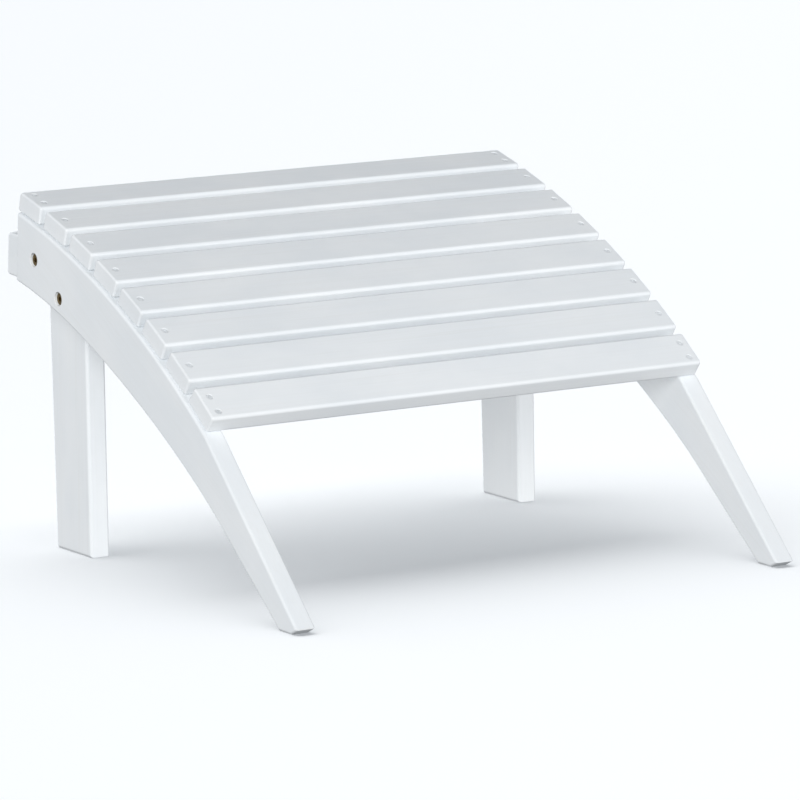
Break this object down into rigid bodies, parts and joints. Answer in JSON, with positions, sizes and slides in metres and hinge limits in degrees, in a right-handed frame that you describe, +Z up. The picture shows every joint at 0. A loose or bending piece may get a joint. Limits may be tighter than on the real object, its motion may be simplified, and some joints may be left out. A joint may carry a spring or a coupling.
{
  "type": "adirondack footrest",
  "caption": "Painted wood garden footrest: spaced slats across two curved side rails that run down into the front legs, with upright rear legs bolted inside the rails.",
  "frame": {"origin": "on the floor, at the middle of the part's width and depth", "axes": "+X along the slats to the right seen from the low front end, +Y to the high back end, +Z up"},
  "size_m": [0.508, 0.4746, 0.3112],
  "materials": {
    "rail_paint": "satin white paint over hardwood",
    "leg_paint": "satin white paint over hardwood",
    "slat_paint": "satin white paint over hardwood",
    "screw_paint": "steel screw painted over with the wood",
    "bolt_brass": "antique brass plating"
  },
  "bodies": {
    "root": {"side_rail_left": "rail_paint", "side_rail_right": "rail_paint", "rear_leg_left": "leg_paint", "rear_leg_right": "leg_paint", "slat_1": "slat_paint", "slat_2": "slat_paint", "slat_3": "slat_paint", "slat_4": "slat_paint", "slat_5": "slat_paint", "slat_6": "slat_paint", "slat_7": "slat_paint", "slat_8": "slat_paint", "back_crossbar": "slat_paint", "leg_bolt_left_upper": "bolt_brass", "leg_bolt_left_lower": "bolt_brass", "leg_bolt_right_upper": "bolt_brass", "leg_bolt_right_lower": "bolt_brass", "leg_nut_left_upper": "bolt_brass", "leg_nut_left_lower": "bolt_brass", "leg_nut_right_upper": "bolt_brass", "leg_nut_right_lower": "bolt_brass", "slat_screw_1_left_rear": "screw_paint", "slat_screw_1_left_front": "screw_paint", "slat_screw_1_right_rear": "screw_paint", "slat_screw_1_right_front": "screw_paint", "slat_screw_2_left_mid": "screw_paint", "slat_screw_2_right_mid": "screw_paint", "slat_screw_3_left_mid": "screw_paint", "slat_screw_3_right_mid": "screw_paint", "slat_screw_4_left_mid": "screw_paint", "slat_screw_4_right_mid": "screw_paint", "slat_screw_5_left_mid": "screw_paint", "slat_screw_5_right_mid": "screw_paint", "slat_screw_6_left_mid": "screw_paint", "slat_screw_6_right_mid": "screw_paint", "slat_screw_7_left_mid": "screw_paint", "slat_screw_7_right_mid": "screw_paint", "slat_screw_8_left_rear": "screw_paint", "slat_screw_8_left_front": "screw_paint", "slat_screw_8_right_rear": "screw_paint", "slat_screw_8_right_front": "screw_paint", "crossbar_screw_left_upper": "screw_paint", "crossbar_screw_left_lower": "screw_paint", "crossbar_screw_right_upper": "screw_paint", "crossbar_screw_right_lower": "screw_paint"}
  },
  "joints": []
}
